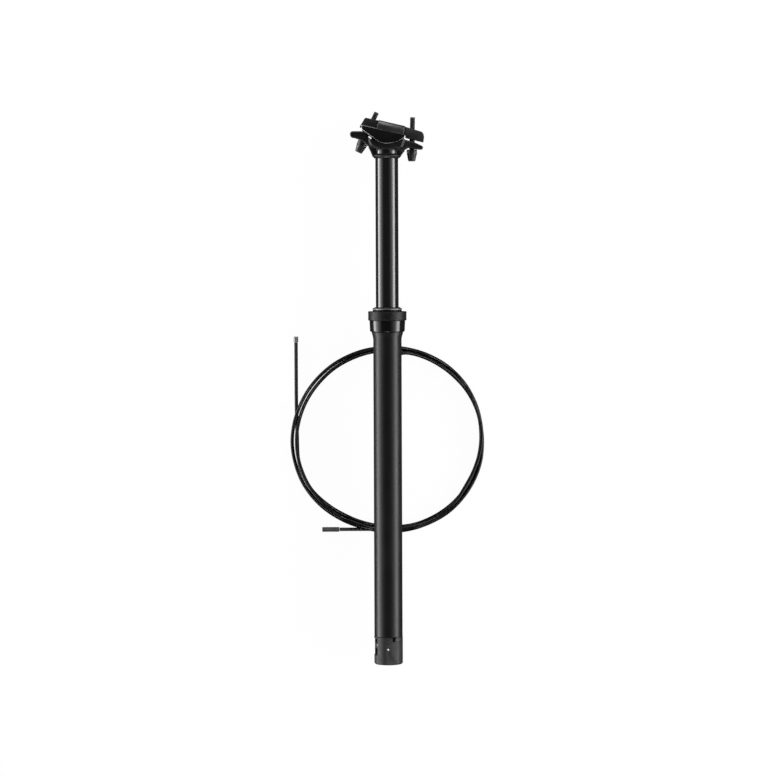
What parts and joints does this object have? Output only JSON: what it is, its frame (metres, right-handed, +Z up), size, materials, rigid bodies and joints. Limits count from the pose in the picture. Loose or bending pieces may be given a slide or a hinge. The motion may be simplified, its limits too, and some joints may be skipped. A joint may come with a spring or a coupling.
{
  "type": "dropper seatpost",
  "caption": "Telescoping dropper seatpost with a two-bolt rail clamp, a sealed collar, a cable release in its foot, and a loose coil of cable housing.",
  "frame": {"origin": "below the middle of the post, on the bench that it lies on", "axes": "+Y along the post to its head, +X the front of the bicycle, +Z up from the bench"},
  "size_m": [0.22, 0.6176, 0.0564],
  "materials": {
    "anodised_gloss": "gloss black anodised",
    "satin_black": "satin black",
    "cast_black": "cast, matt black",
    "rubber": "matt",
    "jacket": "smooth cable jacket",
    "black_plastic": "moulded",
    "steel": "machined",
    "dark_steel": "black oxide",
    "bare_alloy": "machined",
    "brass": "machined"
  },
  "bodies": {
    "post_body": {"outer_tube": "satin_black", "collar_band": "anodised_gloss", "collar_grip": "rubber", "wiper_seal": "rubber", "wiper_ring": "bare_alloy", "upper_bushing": "black_plastic", "cartridge_plug": "bare_alloy", "cartridge_body": "bare_alloy", "cartridge_gland": "bare_alloy", "top_out_bumper": "rubber", "retaining_ring": "dark_steel", "foot_housing": "cast_black", "lever_pivot_pin": "steel", "lever_spring": "steel", "housing_coil": "jacket", "housing_tail_upper": "jacket", "housing_tail_lower": "jacket", "housing_cross_run": "jacket", "short_ferrule": "steel", "long_ferrule": "black_plastic"},
    "inner_post": {"stanchion": "anodised_gloss", "guide_key_1": "brass", "guide_key_2": "brass", "guide_key_3": "brass", "lower_bushing": "black_plastic", "piston_rod": "steel", "rod_piston": "bare_alloy", "piston_ring": "rubber", "rod_anchor": "bare_alloy", "rod_nut": "dark_steel", "seat_head": "cast_black"},
    "floating_piston": {"floating_piston": "bare_alloy"},
    "saddle_clamp": {"lower_cradle": "satin_black", "upper_clamp": "satin_black"},
    "rear_nut": {"rear_barrel_nut": "dark_steel"},
    "rear_washers": {"rear_washer": "dark_steel", "rear_seat_washer": "dark_steel"},
    "rear_bolt": {"rear_bolt": "dark_steel"},
    "front_nut": {"front_barrel_nut": "dark_steel"},
    "front_washers": {"front_washer": "dark_steel", "front_seat_washer": "dark_steel"},
    "front_bolt": {"front_bolt": "dark_steel"},
    "release_lever": {"release_lever": "bare_alloy", "cable_anchor": "brass"},
    "valve_pin": {"valve_pin": "steel"}
  },
  "joints": [
    {"name": "post_travel", "type": "slide", "parent": "post_body", "child": "inner_post", "axis": [0, 1, 0], "range_m": [-0.16, 0], "stiffness_N_per_m": 150, "springref_m": 0.2},
    {"name": "floating_piston_slide", "type": "slide", "parent": "post_body", "child": "floating_piston", "axis": [0, 1, 0], "range_m": [-0.0382, 0]},
    {"name": "saddle_tilt", "type": "hinge", "parent": "inner_post", "child": "saddle_clamp", "pos_m": [0.001, 0.30465, 0.0282], "axis": [0, 0, 1], "range_deg": [-2.5, 7]},
    {"name": "rear_nut_pivot", "type": "hinge", "parent": "saddle_clamp", "child": "rear_nut", "pos_m": [-0.01721, 0.29409, 0.0282], "axis": [0, 0, 1], "range_deg": [-13.64, 5]},
    {"name": "rear_bolt_travel", "type": "slide", "parent": "rear_nut", "child": "rear_washers", "axis": [0.4218, 0.9067, 0], "range_m": [-0.00056, 0.00138]},
    {"name": "rear_bolt_turn", "type": "hinge", "parent": "rear_washers", "child": "rear_bolt", "pos_m": [-0.01721, 0.29409, 0.0282], "axis": [0.4218, 0.9067, 0], "continuous": true},
    {"name": "front_nut_pivot", "type": "hinge", "parent": "saddle_clamp", "child": "front_nut", "pos_m": [0.02845, 0.28342, 0.0282], "axis": [0, 0, 1], "range_deg": [-14.29, 5.23]},
    {"name": "front_bolt_travel", "type": "slide", "parent": "front_nut", "child": "front_washers", "axis": [0.0236, 0.9997, 0], "range_m": [-0.00372, 0.00139]},
    {"name": "front_bolt_turn", "type": "hinge", "parent": "front_washers", "child": "front_bolt", "pos_m": [0.02845, 0.28342, 0.0282], "axis": [0.0236, 0.9997, 0], "continuous": true},
    {"name": "lever_swing", "type": "hinge", "parent": "post_body", "child": "release_lever", "pos_m": [-0.0006, -0.29125, 0.0282], "axis": [0, 0, 1], "range_deg": [0, 20], "stiffness_Nm_per_rad": 0.2, "springref_deg": -17.19},
    {"name": "valve_pin_slide", "type": "slide", "parent": "post_body", "child": "valve_pin", "axis": [0, 1, 0], "range_m": [0, 0.0013]}
  ],
  "couplings": [
    {"joint": "floating_piston_slide", "follows": "post_travel", "ratio": 0.238},
    {"joint": "rear_nut_pivot", "follows": "saddle_tilt", "ratio": -1.92},
    {"joint": "rear_bolt_travel", "follows": "saddle_tilt", "m_per_rad": 0.01051},
    {"joint": "front_nut_pivot", "follows": "saddle_tilt", "ratio": -2.013},
    {"joint": "front_bolt_travel", "follows": "saddle_tilt", "m_per_rad": -0.02966},
    {"joint": "valve_pin_slide", "follows": "lever_swing", "m_per_rad": 0.0036}
  ]
}
